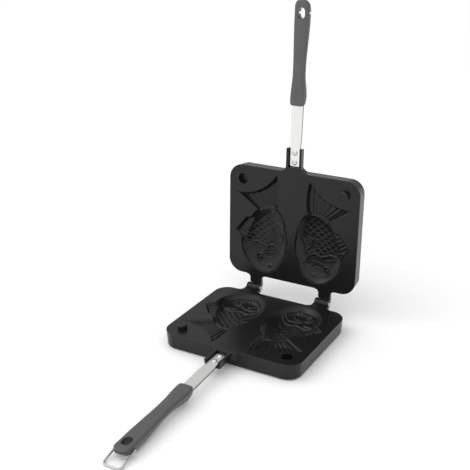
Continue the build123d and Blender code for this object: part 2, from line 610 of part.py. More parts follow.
def ring_reach():
    """Pivot to crossbar, between the wire's middle lines."""
    return 2 * (MIRROR_Z - ring_pivot()[1]) + ring_slack()


def ring_rest_angle():
    """Degrees that the ring hangs below level with its crossbar on the surface that the pan stands on."""
    return degrees(asin((ring_pivot()[1] - WIRE / 2) / ring_reach()))


def locking_ring():
    """Wire ring, lying with its crossbar on the surface that the pan stands on."""
    y, z = ring_pivot()
    length = ring_reach()
    leg_x = RING_LEG_X
    stub_x = HANG_HOLE_WIDTH / 2 + PIVOT_WALL
    bends = [RING_EYE_BEND, RING_CORNER, RING_CORNER, RING_EYE_BEND]
    corners = [(-stub_x, 0), (-leg_x, 0), (-leg_x, -length), (leg_x, -length), (leg_x, 0), (stub_x, 0)]
    path = FilletPolyline(*corners, radius=bends)
    wire = sweep(Plane(origin=path @ 0, z_dir=path % 0) * Circle(WIRE / 2), path=path)
    return Pos(0, y, z) * Rot(ring_rest_angle(), 0, 0) * wire


def build():
    """Every piece by name."""
    pieces = {"lower_pan": lower_pan(), "upper_pan": upper_pan(), "locking_ring": locking_ring()}
    for name, middle in zip(("left", "right"), hinge_middles()):
        pieces[f"hinge_pin_{name}"] = hinge_pin(middle)
    drawn = {"strap": strap(), "rivet_inner": rivet(RIVETS[0]), "rivet_outer": rivet(RIVETS[1]),
             "grip_body": handle_place() * grip_body(), "grip_cover": handle_place() * grip_cover()}
    for name, piece in drawn.items():
        pieces[f"lower_{name}"] = piece
        pieces[f"upper_{name}"] = swing_up(piece)
    return pieces


if __name__ == "__main__":
    os.makedirs("parts", exist_ok=True)
    for node, piece in build().items():
        export_step(piece, f"parts/{node}.step")
        print(node, len(piece.solids()), round(piece.volume, 1))
    print("hinge axis y, z:", AXIS_Y, AXIS_Z)
    print("ring pivot y, z:", *[round(value, 4) for value in ring_pivot()])
    print("ring reach:", round(ring_reach(), 4), "rest angle:", round(ring_rest_angle(), 4))
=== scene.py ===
import math

import bmesh
import bpy
import numpy as np
from mathutils import Matrix, Vector
from mathutils.geometry import delaunay_2d_cdt


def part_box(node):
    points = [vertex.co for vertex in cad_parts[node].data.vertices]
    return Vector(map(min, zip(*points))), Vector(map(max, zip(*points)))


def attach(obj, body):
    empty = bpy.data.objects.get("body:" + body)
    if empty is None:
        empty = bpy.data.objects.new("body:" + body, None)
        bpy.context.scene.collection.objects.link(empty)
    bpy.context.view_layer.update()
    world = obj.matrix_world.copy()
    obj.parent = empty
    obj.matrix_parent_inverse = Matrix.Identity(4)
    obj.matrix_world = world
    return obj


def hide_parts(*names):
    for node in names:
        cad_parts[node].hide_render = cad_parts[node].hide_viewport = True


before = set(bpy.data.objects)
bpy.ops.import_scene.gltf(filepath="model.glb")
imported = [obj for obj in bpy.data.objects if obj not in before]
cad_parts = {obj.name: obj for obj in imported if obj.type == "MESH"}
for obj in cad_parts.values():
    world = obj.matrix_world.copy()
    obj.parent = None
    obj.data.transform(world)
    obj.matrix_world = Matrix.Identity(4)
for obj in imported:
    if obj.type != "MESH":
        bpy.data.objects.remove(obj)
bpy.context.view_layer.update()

bl_info = {
    "name": "Fish-cake Hob Pan",
    "version": (1, 0, 0),
    "blender": (4, 5, 0),
    "location": "3D View > Sidebar > Hob Pan",
    "description": "Cast halves with fish cavities, moulded grips, straps and fittings on the packed frame",
    "category": "Object",
}

# Geometry is worked out in millimetres, as the castings were drawn, and scaled once when a mesh is made.
MM = 0.001

# ---- the castings, as drawn for the lower half ----
PARTING_Z = 18.0
SHUT_MIRROR_Z = 36.1            # sum of a point's height and its mirror image's when shut
HINGE_Y, HINGE_Z = 79.05, 16.6
OPEN_ANGLE = 91.0
FISH_X, FISH_Y = 33.0, 20.75    # middle of the right-hand fish
BODY_OUTLINE = ((-3, 38.2), (14, 33), (25, 21), (29, 6), (25.5, -10), (17, -26), (6, -39), (-7, -44),
                (-19, -37), (-28, -14), (-29, 4), (-24.2, 20), (-13, 34.5))
BOWL_STEPS = (                  # share of the way from the middle to the outline, depth
    (0.0, 10.0), (0.25, 9.95), (0.46, 9.7), (0.70, 8.4), (0.86, 5.0), (0.975, 1.6), (1.0, 0.0))
BOWL_REACH = 0.98               # under 1, so that the bowl keeps some depth where it meets its rim
FIN_DEPTH = 5.6                 # of the pockets for the tail and the back fin
FIN_WALL = 2.25                 # steepness of the pockets' walls
BOWL_WALL = 1.25                # the bowl's wall may be steeper than theirs by this factor
RIM_ROUND = 0.3                 # where a wall leaves the parting face
FLOOR_ROUND = 1.3               # where a pocket's wall meets its floor
FOLD_ROUND = 0.5                # where a pocket runs into the bowl
WALL_ROUND = 0.2                # where the bowl reaches its steepest wall
WALL_ROWS = (0.3, 0.65, 1.1, 1.6, 2.15, 2.7)    # rows of mesh points, by their distance inside the rim
TAIL_ROOT = ((-15.7, -42), (8.5, -33))
TAIL_FADE = (-3, 1.5)           # the tail's pocket deepens between these distances beyond its root
BACK_FIN_SIDES = (((20, 8), (14, -27)), ((27.3, 3), (20, 8)), ((14, -27), (23.3, -25)))
BACK_FIN_FADE = (-0.8, 1.2)     # and the back fin's between these, inside each of its sides

# ---- relief in the right-hand fish: across towards its back, along towards its head, from its middle ----
# A share is a point's share of the way from the fish's middle to its outline. A layer fades between the two
# values of a pair: shares in an EDGE, places along the fish in a TAIL, and millimetres in the others.
RIM_FADE = (0.4, 2.2)           # depth of the cavity under which all relief dies away
PILLOW_RISE = 0.6               # of body and face above the cavity's floor
PILLOW_EDGE, PILLOW_TAIL = (0.80, 0.87), (-41, -37)
CREASE_DEPTH = 0.4              # of the groove round the pillow
CREASE_SHARE, CREASE_HALF = 0.885, 0.035
SCALE_ROWS = 18
SCALE_START = 12.0              # where the first row lies, mostly under the gill cover
SCALE_BULGE = 0.33              # half of what a scale's free edge bulges, as a share of a row
SCALE_LEAD = 1.1                # length over which the free edge rises
SCALE_SLOPE = 0.85              # share of its rise that a scale loses towards its root
SCALE_SHORTEST = 0.4            # least length of that slope, as a share of a row
SCALE_UNEVEN = 0.15             # share by which the rise changes from place to place
SCALE_EDGE, SCALE_TAIL = (0.77, 0.84), (-40, -36)
SCALE_GILL = (0.3, 1.5)         # distance behind the gill cover
SCALE_CHEST = (-24, -12)        # place across the fish, on the chest's side
# waves that make the scales uneven: height, length across, length along, start
WAVES_ACROSS = ((0.6, math.inf, 3.7, 0), (0.4, 5.9, 7.1, 0))
WAVES_ALONG = ((0.45, 5.3, math.inf, 1), (0.3, 2.9, -6.3, 0))
WAVES_RISE = ((SCALE_UNEVEN, 3.3, 4.9, 0),)
FACE_EDGE = (0.88, 0.96)
GILL_PLATE = 0.5                # rise of the whole cover, as a share of the gill's rise
GILL_STEP = (-0.4, 0.6)         # distance ahead of the cover's edge
GILL_COVER = ((-24, 22), (-18.2, 14.8), (-14.9, 9.3), (-10.5, 6.3), (-6.1, 5.6), (-2.4, 6.7), (-0.2, 8.2),
              (2.8, 7.1), (7.9, 5.2), (11.6, 3.8), (16.7, 4.9), (22, 7.5))
FACE_LINES = (                  # path, half width, share of the gill's rise
    # the thick edge of the gill cover
    (((-19, 18.8), (-17, 13.9), (-13.3, 9.4), (-8.1, 6.8), (-3.7, 7.2), (-0.7, 9.1), (3, 8.6), (8, 6.6),
      (12, 5.2), (17, 6.2)), 1.5, 0.8),
    # a fold across the cheek, and the groove behind it
    (((-19.5, 22.6), (-15.6, 18.2), (-11.9, 15.4), (-9, 14.9), (-4.4, 15.5), (-1.6, 16.1), (3, 18)),
     1.2, 0.9),
    (((-19, 21), (-15.6, 16.8), (-11.9, 13.9), (-9, 13.6), (-4.4, 14.2), (-1.6, 14.6), (3, 16.5)),
     0.9, -0.9),
    # a groove and a fold behind the eye
    (((8.3, 10.4), (13.5, 9), (18.2, 7.4)), 0.9, -0.8),
    (((8.3, 11.9), (13.5, 10.5), (18.2, 8.9)), 1.0, 0.6),
    # a short groove on the cheek
    (((-9, 22.5), (-5.3, 19.9), (-1.6, 20.7)), 0.8, -0.9),
    # the lips, the slit between them, and a groove on the chin
    (((-1.5, 38), (-3.4, 34.5), (-5.5, 31)), 3.0, 0.9),
    (((-1.5, 38), (-3.4, 34.5), (-5.5, 31)), 1.0, -1.7),
    (((-11.5, 34.0), (-11.5, 28.8)), 1.0, -0.5))
EYE = (8.6, 23.0)
# the eye is a bead in a groove, with a ring round it and a faint cheek ring: rise, radius, half width, power
EYE_RINGS = ((1.3, 0.0, 2.2, 0.5), (-0.6, 2.5, 0.8, 1.0), (1.1, 3.95, 1.15, 0.7), (0.25, 6.4, 0.9, 1.0))
BREAST = ((-22.5, 5), (-14, 4.5), (-5.5, -7), (-9, -13.5), (-16, -14.5), (-21.5, -12))
BREAST_BARE = (0, 1.2)          # distance from the breast fin in which the scales fade in
BREAST_FOOT = 0.3               # rise at which the fin's rays begin, and which no floor lies under
BREAST_RAYS = (                 # path, half width, rise
    # the thick leading edge, the rays, and the fold that joins their ends
    (((-17.5, 3), (-13.5, 0), (-7, -8.8)), 1.4, 1.2),
    (((-18, 2), (-21.3, -10)), 0.95, 0.9), (((-17.2, 2), (-18.7, -9.5)), 0.95, 0.9),
    (((-16.4, 1.5), (-16, -9.2)), 0.95, 0.9), (((-15.6, 1), (-13.5, -9.5)), 0.95, 0.9),
    (((-14.6, 0), (-11, -9.5)), 0.95, 0.9),
    (((-18, -12), (-14, -11.4), (-9.2, -9.8)), 0.9, 0.6))
BREAST_GROOVE = ((-15.2, -1.5), (-12.6, -3.4), (-8.6, -9.2))
BREAST_GROOVE_DEPTH, BREAST_GROOVE_HALF = 0.5, 0.9
RAY_HALF = 1.0                  # half width of a ray at its root
TAIL_RAY_WIDENING, BACK_RAY_WIDENING = 1.3, 0.5
TAIL_RAYS = (((-9, -42.5), (-8.3, -72)), ((-5.9, -43), (-2.5, -65)), ((-2.4, -43), (3.5, -60)),
             ((1.8, -42), (10.2, -56)), ((5, -40.5), (17, -53)), ((7.5, -38.5), (24, -52.5)),
             ((9.5, -36), (31.5, -51.8)))
BACK_RAYS = [((21.4 - 0.55 * i, 2.2 - 5.1 * i), (34.4 - 1.9 * i, -6.8 - 3.85 * i)) for i in range(5)]

# ---- handles: x across, y back towards the pan, z out of the strap's top face at its bend ----
HANDLE_Y, HANDLE_Z = -86.25, 15.0       # the bend, in the lower half's drawing
HANDLE_SLOPE = 2.6              # degrees
GRIP_START, GRIP_LENGTH = 49.5, 106.0   # from the bend to the grip's front end, and from there to its tip
GRIP_TOP, GRIP_CROWN = 3.3, 0.8
COVER_SEAT = 1.7
GROOVE_TOP, GROOVE_FOOT = COVER_SEAT, 0.9
GRIP_STATIONS = (               # share of the length, half width, depth under the top
    (0.0, 7.5, 6.4), (0.04, 7.8, 8.4), (0.10, 7.8, 9.7), (0.18, 7.2, 9.2), (0.28, 6.4, 7.7),
    (0.42, 6.4, 7.2), (0.56, 6.9, 7.8), (0.68, 7.3, 8.6), (0.79, 7.6, 9.1), (0.90, 7.6, 9.0),
    (1.0, 7.6, 8.6))
NOSE_ROUND, TAIL_ROUND = 2.2, 5.0       # corners of the plan, at the front end and at the tip
NOSE_SPARE = 0.3                # of the nose's corner, left by the round along the underside
TAIL_BOW = 1.2                  # by which the end of the tip bulges
TAIL_RAMP = 9.0                 # length of the slope under the tip
TAIL_TIP_DEPTH, TAIL_CURVE = 4.5, 1.25          # depth at the slope's end, and the power of its curve
HANG_HOLE = (8.4, 11.6, 12.2)   # width, length, middle from the tip
RING_SEAT = (12.0, 5.0)         # from the tip, below the grip's top
NOTCH = (                       # half of its outline round the ring's seat: along, up
    (1.12, 0.0), (1.12, -1.84), (0.92, -2.24), (1.65, -4.04), (1.65, -9.0))
NOTCH_REACH = 12.0              # to each side, past the grip
BROKEN_EDGE = 0.12              # outside, where the two mouldings meet
HOLE_EDGE = 0.1                 # in the hang hole, where they meet
EDGE_DROP = 0.1 * GRIP_CROWN    # by which the cover's crown falls on over its rounded edge
CAP_STEP = 1.3                  # between mesh points on a grip's top and underside
SIDE_POINTS, NOSE_POINTS, TIP_POINTS = 60, 6, 4
# degrees between the points of a round, and degrees at which the points of a rounded edge lie
NOSE_ARC, TAIL_ARC, SLOT_ARC, SEAT_ARC = 9, 6, 12, 15
COVER_EDGE_ARC, UNDER_EDGE_ARC, HOLE_EDGE_ARC = (22, 45, 68, 90), (90, 75, 60, 45, 30, 15, 0), (90, 60, 30, 0)

# ---- fittings: a profile is radius and height ----
FRONT_EDGE = -64.25             # of the lower half
RIVET_SEATS = (10.4, 21.0)      # beyond the front edge
RIVET_FOOT = (                  # the far head and the shank, in the half's drawing
    (2.5, 9.2), (2.9, 9.5), (2.9, 10.4), (1.6, 10.4), (1.6, 15.0))
RIVET_HEAD = (2.9, 15.0, 15.25, 16.6)   # radius, foot, where its dome begins, top
PIN_PEENED = (                  # the peened end, from the pin's left end
    (1.7, 0.0), (2.1, 0.25), (2.1, 0.8), (1.6, 0.8))
PIN_RADIUS, PIN_HEAD_RADIUS = 1.6, 3.2
PIN_HEAD, PIN_DOME = 1.6, 1.2   # heights of the head and of its dome
DOME_ARC = (15, 30, 45, 60, 72, 82)
STRAP_EDGE = 0.22               # width of the strap's broken edges
STRAP_WELD = 0.002              # joins points that the CAD mesh has split
TURNED_SIDES = 40

# ---- meshes ----
SAME_POINT, SAME_HEIGHT = 0.002, 0.003  # points and heights that differ by less are one
NO_LENGTH = 0.001               # edges shorter than this are dissolved
TINY = 1e-12                    # keeps a division from failing
HULL_TRIANGLES, NET_EPSILON = 0, 1e-6   # the kind of net that is made, and its tolerance
FISH_LONG, FISH_WIDE = 60, 100  # a fish's rim is longer than the first and narrower than the second
SHARP_CAST, SHARP_MOULDED, SHARP_TURNED, SHARP_STRAP = 40.0, 42.0, 60.0, 50.0      # degrees
FLAT_WEIGHT = 80                # how much large faces rule the shading of their edges
# spacing of mesh points, as shares of a step: rows, from a rim, from a drawn row, along a drawn row
NET_ROW, RIM_SPACE, ROW_SPACE, ALONG_SPACE = 0.87, 0.55, 0.6, 0.45
ROW_KEPT = 0.97                 # a drawn row folds over in tight corners, and what comes nearer is left out

# ---- stage: metres in the frame ----
CAMERA_LENS, CAMERA_SENSOR = 65.1, 36.0         # the camera was fitted to the photo's outline
CAMERA_SPOT, CAMERA_BACK = (0.3686, -0.7052, 0.4355), (0.4523, -0.8108, 0.3716)
SOFT_BOX_SPOT, SOFT_BOX_AIM = (-0.9, -0.5, 1.3), (0, 0, 0.05)
SOFT_BOX_SIZE, SOFT_BOX_POWER = 0.9, 3.0
GLOW_TOWARDS = (-0.2, -0.45, 0.87)              # where the studio is brightest
GLOW_REACH, GLOW_DIM, GLOW_BRIGHT = 0.9, 0.45, 1.3
SWEEP_LOW, SWEEP_HIGH = 0.05, 0.12              # height, on a sphere of 1 m, over which the sweep ends
FLOOR_HALF = 14


def linear(hex_colour):
    """Linear colour, with alpha, of an sRGB hex value."""
    parts = [int(hex_colour[i:i + 2], 16) / 255 for i in (1, 3, 5)]
    return [c / 12.92 if c <= 0.04045 else ((c + 0.055) / 1.055) ** 2.4 for c in parts] + [1.0]


def colour(name, description, default):
    """Colour property, whose default is an sRGB hex value."""
    return bpy.props.FloatVectorProperty(name=name, description=description, subtype="COLOR", size=4, min=0,
                                         max=1, default=linear(default))


def length(name, description, millimetres):
    """Length property, whose default is given in millimetres."""
    return bpy.props.FloatProperty(name=name, description=description, subtype="DISTANCE", unit="LENGTH",
                                   min=0, precision=5, default=millimetres * MM)


class HobPanRelief(bpy.types.PropertyGroup):
    """Sizes of the relief in the fish cavities."""
    scale_row: length("Scale Rows", "Distance between two rows of scales", 3.8)
    scale_width: length("Scale Width", "Width of one scale", 8.8)
    scale_rise: length("Scale Rise", "Height of a scale's free edge", 0.95)
    gill_rise: length("Gill Rise", "Height of the gill cover's edge", 1.0)
    ray_rise: length("Ray Rise", "Height of the fin rays", 1.25)
    mesh_step: length("Mesh Step", "Distance between the mesh points in a cavity", 0.56)


class HobPanGrip(bpy.types.PropertyGroup):
    """Sizes of the grips' rounded edges and of their groove."""
    under_round: length("Underside Round", "Height of the round along the grip's underside", 2.6)
    cover_round: length("Cover Round", "Radius along the cover's upper edge", 1.1)
    groove_depth: length("Groove Depth", "Depth of the shadow groove under the cover", 0.6)
    hole_round: length("Hole Round", "Radius round the hang hole", 0.5)


class HobPanColours(bpy.types.PropertyGroup):
    """Colours of the finishes."""
    coat: colour("Coat", "Non-stick coat on the castings", "#151516")
    grip: colour("Grip", "Moulded grips", "#464647")
    strap: colour("Strap", "Stainless strip of the handles", "#eeedea")
    sheared: colour("Sheared Sides", "Sides of the strip, where it was sheared", "#7f7f7e")
    rivet: colour("Rivet", "Aluminium rivets", "#dcdddf")
    pin: colour("Pin", "Steel hinge pins", "#c2c2c0")
    wire: colour("Wire", "Steel wire of the locking ring", "#bdbdbb")
    floor: colour("Floor", "Studio floor", "#fdfdfd")


# ---- mesh helpers ----

def lower_place():
    """From the lower half's drawing, in millimetres, to the frame."""
    return Matrix.Scale(MM, 4)


def upper_place():
    """From the lower half's drawing to the raised upper half: mirrored shut, then swung open."""
    axis = Matrix.Translation((0, HINGE_Y, HINGE_Z))
    swing = axis @ Matrix.Rotation(math.radians(-OPEN_ANGLE), 4, "X") @ axis.inverted()
    shut = Matrix.Translation((0, 0, SHUT_MIRROR_Z)) @ Matrix.Diagonal((1, 1, -1, 1))
    return lower_place() @ swing @ shut


def halves():
    """Name, place and moving body of each half."""
    return ("lower", lower_place(), "base"), ("upper", upper_place(), "lid")


def handle_place():
    """From the handle's own frame to the lower half's drawing."""
    return Matrix.Translation((0, HANDLE_Y, HANDLE_Z)) @ Matrix.Rotation(math.radians(HANDLE_SLOPE), 4, "X")


def spline(points, steps, closed=False):
    """Smooth curve through 2-D points, as an array."""
    p = np.array(points, float)
    ends = (p[-1:], p[:2]) if closed else (2 * p[:1] - p[1:2], 2 * p[-1:] - p[-2:-1])
    q = np.vstack([ends[0], p, ends[1]])
    t = np.linspace(0, 1, steps, endpoint=False)[:, None]
    runs = []
    for a, b, c, d in zip(q, q[1:], q[2:], q[3:]):
        runs.append(0.5 * (2 * b + (c - a) * t + (2 * a - 5 * b + 4 * c - d) * t ** 2
                           + (3 * b - a - 3 * c + d) * t ** 3))
    return np.vstack(runs + [p[:1] if closed else p[-1:]])


def distance(points, path):
    """Distance of each point from a 2-D path."""
    a, ab = path[:-1], np.diff(path, axis=0)
    best = np.full(len(points), np.inf)
    for start, along in zip(a, ab):
        size = max(float(along @ along), TINY)
        t = np.clip((points - start) @ along / size, 0, 1)[:, None]
        best = np.minimum(best, np.linalg.norm(points - start - t * along, axis=1))
    return best


def beside(points, line):
    """Signed distance of each point from a line, positive on its left."""
    a, b = np.array(line, float)
    n = np.array([a[1] - b[1], b[0] - a[0]])
    return (points - a) @ n / np.linalg.norm(n)


def within(points, loop):
    """Which points lie inside a closed 2-D loop."""
    x, y = points[:, 0], points[:, 1]
    inside = np.zeros(len(points), bool)
    for (x0, y0), (x1, y1) in zip(loop, np.roll(loop, -1, axis=0)):
        if y0 != y1:
            crossing = (y0 > y) != (y1 > y)
            inside ^= crossing & (x < (x1 - x0) * (y - y0) / (y1 - y0) + x0)
    return inside


def ease(low, high, x):
    """Smooth step from 0 at low to 1 at high."""
    t = np.clip((x - low) / (high - low), 0, 1)
    return t * t * (3 - 2 * t)


def soft_max(a, b, blend):
    """Larger of two fields, with a rounded crease."""
    h = np.clip(0.5 + (a - b) / (2 * blend), 0, 1)
    return b + (a - b) * h + blend * h * (1 - h)


def evenly(loop, step):
    """Closed loop with its points spaced evenly, and its corners kept."""
    kept = []
    for a, b in zip(loop, np.roll(loop, -1, axis=0)):
        count = max(1, round(float(np.linalg.norm(b - a)) / step))
        kept += [a + (b - a) * i / count for i in range(count)]
    return np.array(kept)


def drawn_in(loop, inset):
    """Closed loop, drawn anticlockwise, moved inwards by an inset."""
    along = np.roll(loop, -1, axis=0) - np.roll(loop, 1, axis=0)
    along /= np.linalg.norm(along, axis=1)[:, None]
    return loop + np.column_stack([-along[:, 1], along[:, 0]]) * inset


def fill(loop, step, holes=(), rows=()):
    """Points and triangles of the area inside a loop and outside its holes. The loop's points come first.
    Rows of points follow the loop at the given distances inside it, so that a wall there is drawn cleanly."""
    low, high = loop.min(0), loop.max(0)
    xs, ys = np.arange(low[0], high[0], step), np.arange(low[1], high[1], step * NET_ROW)
    grid = np.array([(x + (i % 2) * step / 2, y) for i, y in enumerate(ys) for x in xs])
    grid = grid[within(grid, loop)]
    rims = [loop, *holes]
    for rim in rims:
        grid = grid[distance(grid, np.vstack([rim, rim[:1]])) > step * RIM_SPACE]
    for hole in holes:
        grid = grid[~within(grid, hole)]
    closed = np.vstack([loop, loop[:1]])
    for row in rows:
        along = drawn_in(loop, row)
        along = along[(distance(along, closed) > row * ROW_KEPT) & within(along, loop)]
        keep = [0]
        for i in range(1, len(along)):
            if np.linalg.norm(along[i] - along[keep[-1]]) > step * ALONG_SPACE:
                keep.append(i)
        along = along[keep]
        near = np.array([np.min(np.sum((along - p) ** 2, axis=1)) for p in grid])
        grid = np.vstack([grid[near > (step * ROW_SPACE) ** 2], along])
    edges, start = [], 0
    for rim in rims:
        edges += [(start + i, start + (i + 1) % len(rim)) for i in range(len(rim))]
        start += len(rim)
    cloud = np.vstack(rims + [grid])
    points, _, faces, *_ = delaunay_2d_cdt([Vector(p) for p in cloud], edges, [], HULL_TRIANGLES, NET_EPSILON)
    points = np.array(points)
    faces = np.array(faces)
    middles = points[faces].mean(1)
    keep = within(middles, loop)
    for hole in holes:
        keep &= ~within(middles, hole)
    return points, faces[keep]


def new_piece(name, bm, place, material, body, sharp_over):
    """Object from a bmesh drawn in millimetres, with its finish and the body that it rides on.
    Edges over sharp_over degrees are sharp. A sharp_over of 0 keeps the sharp edges that the bmesh has."""
    bmesh.ops.transform(bm, matrix=place, verts=bm.verts)
    if place.determinant() < 0:
        bmesh.ops.reverse_faces(bm, faces=bm.faces)
    mesh = bpy.data.meshes.new(name)
    bm.to_mesh(mesh)
    bm.free()
    # normals handed down from the CAD mesh would be wrong on new faces
    if "custom_normal" in mesh.attributes:
        mesh.attributes.remove(mesh.attributes["custom_normal"])
    if sharp_over:
        mesh.shade_smooth()
        mesh.set_sharp_from_angle(angle=math.radians(sharp_over))
    mesh.materials.append(material)
    piece = bpy.data.objects.new(name, mesh)
    bpy.context.scene.collection.objects.link(piece)
    weighted = piece.modifiers.new("Flat faces stay flat", "WEIGHTED_NORMAL")
    weighted.keep_sharp = True
    weighted.weight = FLAT_WEIGHT
    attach(piece, body)
    return piece


def dress(node, material):
    """Gives a CAD node that is shown as it is its finish."""
    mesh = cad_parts[node].data
    mesh.materials.clear()
    mesh.materials.append(material)


# ---- finishes ----

def add(tree, kind, inputs=None, **settings):
    """Adds a node, sets it, and gives its inputs a value or a link each."""
    made = tree.nodes.new(kind)
    for name, value in settings.items():
        setattr(made, name, value)
    for socket, value in (inputs or {}).items():
        if isinstance(value, bpy.types.NodeSocket):
            tree.links.new(value, made.inputs[socket])
        else:
            made.inputs[socket].default_value = value
    return made


def finish(name):
    """New material with its tree, its shader and the object's own coordinates in metres.
    A material that is there already comes back without them."""
    material = bpy.data.materials.get(name)
    if material:
        return material, None, None, None
    material = bpy.data.materials.new(name)
    material.use_nodes = True
    tree = material.node_tree
    tree.nodes.clear()
    shader = add(tree, "ShaderNodeBsdfPrincipled")
    add(tree, "ShaderNodeOutputMaterial", {"Surface": shader.outputs[0]})
    place = add(tree, "ShaderNodeTexCoord").outputs["Object"]
    return material, tree, shader, place


def vary(tree, shader, tone, grain, tints, rough, depth, strength):
    """Colour and roughness that change with one texture, and bumps, in metres, that follow another."""
    shade = add(tree, "ShaderNodeMix", {"Factor": tone.outputs["Fac"], "A": tints[0], "B": tints[1]},
                data_type="RGBA")
    gloss = add(tree, "ShaderNodeMapRange", {"Value": tone.outputs["Fac"], "To Min": rough[0],
                                             "To Max": rough[1]})
    bump = add(tree, "ShaderNodeBump", {"Height": grain.outputs["Fac"], "Distance": depth,
                                        "Strength": strength})
    tree.links.new(shade.outputs["Result"], shader.inputs["Base Color"])
    tree.links.new(gloss.outputs["Result"], shader.inputs["Roughness"])
    tree.links.new(bump.outputs["Normal"], shader.inputs["Normal"])


def tinted(tint, *shares):
    """A colour made darker or paler by each of some shares."""
    return [[part * share for part in tint[:3]] + [1] for share in shares]


def sprayed_coat():
    """Non-stick coat sprayed on cast aluminium."""
    material, tree, shader, place = finish("Non-stick coat sprayed on cast aluminium")
    if tree:
        # The eye sees near black with a satin sheen, which changes a little as the spray went on.
        cloud = add(tree, "ShaderNodeTexNoise", {"Vector": place, "Scale": 1 / 0.022, "Detail": 4.0})
        # A sprayed coat's grain is about 0.1 mm; it is drawn at 0.5 mm, because finer wouldn't show.
        grain = add(tree, "ShaderNodeTexNoise", {"Vector": place, "Scale": 1 / 0.0005, "Detail": 2.0})
        tints = tinted(bpy.context.scene.hob_pan_colours.coat, 0.8, 1.2)
        vary(tree, shader, cloud, grain, tints, rough=(0.24, 0.33), depth=0.00003, strength=0.5)
        shader.inputs["IOR"].default_value = 1.38
    return material


def moulded_phenolic():
    """Phenolic resin, compression moulded."""
    material, tree, shader, place = finish("Phenolic resin compression moulded")
    if tree:
        # The eye sees an even dark grey, half matt from the blasted wall of the tool.
        flow = add(tree, "ShaderNodeTexNoise", {"Vector": place, "Scale": 1 / 0.012, "Detail": 3.0})
        # The blasted wall's texture is 0.05 mm; it is drawn at 0.4 mm so that it breaks the highlights.
        grain = add(tree, "ShaderNodeTexNoise", {"Vector": place, "Scale": 1 / 0.0004, "Detail": 2.0})
        tints = tinted(bpy.context.scene.hob_pan_colours.grip, 0.85, 1.15)
        vary(tree, shader, flow, grain, tints, rough=(0.3, 0.4), depth=0.00002, strength=0.4)
        shader.inputs["IOR"].default_value = 1.65
    return material


def metal(name, tint, rough, stretch, size):
    """Bare metal whose fine marks have a real size, in metres, and a direction."""
    material, tree, shader, place = finish(name)
    if tree:
        squeezed = add(tree, "ShaderNodeMapping", {"Vector": place, "Scale": stretch})
        marks = add(tree, "ShaderNodeTexNoise", {"Vector": squeezed.outputs[0], "Scale": 1 / size,
                                                 "Detail": 3.0})
        vary(tree, shader, marks, marks, tinted(tint, 0.9, 1.0), rough, depth=0.00001, strength=0.3)
        shader.inputs["Metallic"].default_value = 1.0
    return material


def rolled_strip():
    """Stainless strip, cold rolled, with its sides sheared."""
    # The eye sees pale satin steel, with faint lines along the handle. They are drawn 0.5 mm apart.
    name = "Stainless strip cold rolled"
    fresh = name not in bpy.data.materials
    colours = bpy.context.scene.hob_pan_colours
    material = metal(name, colours.strap, rough=(0.26, 0.36), stretch=(1, 0, 0), size=0.0005)
    if fresh:
        # The sides are sheared, not rolled, so the eye sees them as a duller grey line along the strip.
        tree = material.node_tree
        shader = next(n for n in tree.nodes if n.type == "BSDF_PRINCIPLED")
        facing = add(tree, "ShaderNodeSeparateXYZ", {0: add(tree, "ShaderNodeTexCoord").outputs["Normal"]})
        side = add(tree, "ShaderNodeMath", {0: facing.outputs["X"]}, operation="ABSOLUTE")
        sheared = add(tree, "ShaderNodeMapRange", {"Value": side.outputs[0], "From Min": 0.3,
                                                   "From Max": 0.7})
        rolled = shader.inputs["Base Color"].links[0].from_socket
        both = add(tree, "ShaderNodeMix", {"Factor": sheared.outputs["Result"], "A": rolled,
                                           "B": colours.sheared}, data_type="RGBA")
        tree.links.new(both.outputs["Result"], shader.inputs["Base Color"])
    return material


def headed_rivet():
    """Aluminium rivet, cold headed."""
    # The eye sees bright metal, with soft dents about 0.6 mm wide left by the rivet set.
    tint = bpy.context.scene.hob_pan_colours.rivet
    return metal("Aluminium rivet cold headed", tint, rough=(0.3, 0.42), stretch=(1, 1, 1), size=0.0006)


def turned_pin():
    """Steel pin, turned."""
    # The eye sees bright rings round the pin's axis, drawn 0.4 mm apart.
    tint = bpy.context.scene.hob_pan_colours.pin
    return metal("Steel pin turned", tint, rough=(0.2, 0.3), stretch=(1, 0.1, 0.1), size=0.0004)


def drawn_wire():
    """Steel wire, drawn and tumbled."""
    # The eye sees an even, bright wire, with blotches about 1 mm wide.
    tint = bpy.context.scene.hob_pan_colours.wire
    return metal("Steel wire drawn", tint, rough=(0.18, 0.28), stretch=(1, 1, 1), size=0.001)


# ---- cast halves ----

def hump(x, power=1.0):
    """Rounded hump: 1 at 0, and nothing beyond -1 and 1. A lower power gives it steeper sides."""
    return np.clip(1 - x ** 2, 0, 1) ** power


def ridge(points, path, half_width, height, widening=0.0):
    """Raised bead along a path, which may grow wider along it: height of the bead at each point."""
    along = np.clip((points - path[0]) @ (path[-1] - path[0]) / np.sum((path[-1] - path[0]) ** 2), 0, 1)
    return height * hump(distance(points, path) / (half_width + widening * along), power=0.7)


def waves(points, kinds):
    """Sum of some slow waves at each point."""
    x, y = points.T
    return sum(high * np.sin(x / across + y / along + start) for high, across, along, start in kinds)


def bowl_depth(points):
    """Depth of the fish's body, and each point's share of the way from the middle to the body's outline."""
    outline = spline(BODY_OUTLINE, steps=12, closed=True)
    angles, radii = np.arctan2(outline[:, 1], outline[:, 0]), np.linalg.norm(outline, axis=1)
    order = np.argsort(angles)
    towards = np.arctan2(points[:, 1], points[:, 0])
    around = np.interp(towards, angles[order], radii[order], period=2 * math.pi)
    share = np.linalg.norm(points, axis=1) / around
    steps = spline(BOWL_STEPS, steps=8)
    return np.interp(share * BOWL_REACH, steps[:, 0], steps[:, 1], right=0.0), share


